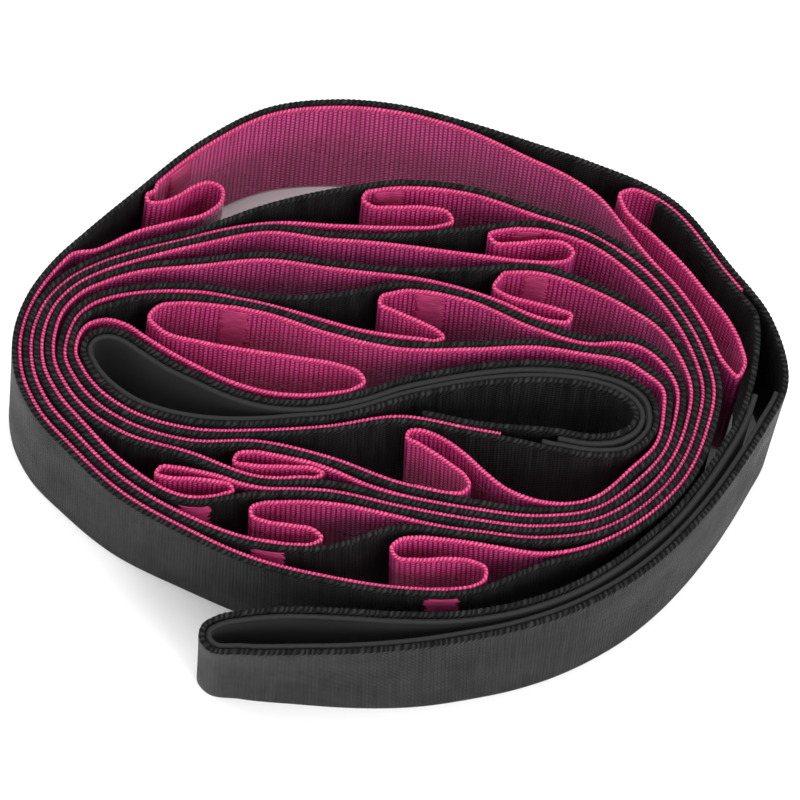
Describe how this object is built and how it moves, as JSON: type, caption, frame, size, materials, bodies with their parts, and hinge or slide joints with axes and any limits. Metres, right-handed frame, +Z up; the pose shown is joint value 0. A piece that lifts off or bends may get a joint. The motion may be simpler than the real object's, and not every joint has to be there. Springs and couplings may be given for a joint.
{
  "type": "stretching strap",
  "caption": "Multi-loop stretching strap of pink and black webbing, wound up on edge, with a lined hand loop at each end.",
  "frame": {"origin": "middle of the wound strap's outline, on the surface it stands on", "axes": "X along the long side of the coil, Y across it with the outer hand loop on the -Y side, Z up along the width of the webbing"},
  "size_m": [0.1698, 0.1346, 0.038],
  "materials": {
    "black_webbing": "woven nylon",
    "pink_webbing": "woven nylon, satin sheen",
    "pink_thread": "satin thread",
    "neoprene": "matte"
  },
  "bodies": {
    "coil": {"backing_root": "black_webbing", "backing_01": "black_webbing", "backing_02": "black_webbing", "backing_03": "black_webbing", "backing_04": "black_webbing", "backing_05": "black_webbing", "backing_06": "black_webbing", "backing_07": "black_webbing", "backing_08": "black_webbing", "backing_09": "black_webbing", "backing_10": "black_webbing", "backing_11": "black_webbing", "backing_12": "black_webbing", "loop_01": "pink_webbing", "loop_02": "pink_webbing", "loop_03": "pink_webbing", "loop_04": "pink_webbing", "loop_05": "pink_webbing", "loop_06": "pink_webbing", "loop_07": "pink_webbing", "loop_08": "pink_webbing", "loop_09": "pink_webbing", "loop_10": "pink_webbing", "loop_11": "pink_webbing", "loop_12": "pink_webbing", "bartack_00": "pink_thread", "bartack_01": "pink_thread", "bartack_02": "pink_thread", "bartack_03": "pink_thread", "bartack_04": "pink_thread", "bartack_05": "pink_thread", "bartack_06": "pink_thread", "bartack_07": "pink_thread", "bartack_08": "pink_thread", "bartack_09": "pink_thread", "bartack_10": "pink_thread", "bartack_11": "pink_thread", "bartack_12": "pink_thread", "outer_handle_tab": "black_webbing", "inner_handle_webbing": "black_webbing", "inner_handle_pad": "neoprene"},
    "handle_rear": {"outer_handle_rear_ply": "black_webbing", "outer_handle_rear_return": "black_webbing", "outer_pad_rear_ply": "neoprene", "outer_pad_rear_return": "neoprene"},
    "handle_front": {"outer_handle_front": "black_webbing", "outer_pad_front": "neoprene"}
  },
  "joints": [
    {"name": "outer_handle_swing", "type": "hinge", "parent": "coil", "child": "handle_rear", "pos_m": [0.08445, -0.00635, 0.019], "axis": [0, 0, 1], "range_deg": [0, 75]},
    {"name": "outer_handle_bend", "type": "hinge", "parent": "handle_rear", "child": "handle_front", "pos_m": [0.02549, -0.06202, 0.019], "axis": [0, 0, 1], "range_deg": [0, 60]}
  ]
}
